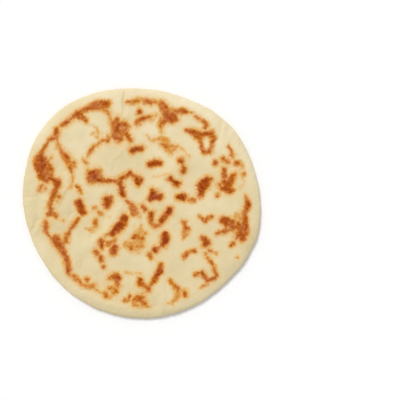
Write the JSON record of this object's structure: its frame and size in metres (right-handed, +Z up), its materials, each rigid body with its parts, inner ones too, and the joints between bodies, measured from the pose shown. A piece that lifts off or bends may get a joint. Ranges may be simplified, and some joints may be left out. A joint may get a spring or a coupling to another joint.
{
  "type": "pita bread",
  "caption": "Round flat pita bread with a rolled pale rim, a softly puffed top and rust-brown griddle marks, lying on its flat underside.",
  "frame": {"origin": "middle of the box round the bread, on the surface that it lies on", "axes": "+Z is up out of the browned top, +X runs across the widest way, +Y follows from them"},
  "size_m": [0.246, 0.238, 0.0118],
  "materials": {
    "baked_crust": "matte"
  },
  "bodies": {
    "root": {"pita_bread": "baked_crust"}
  },
  "joints": []
}
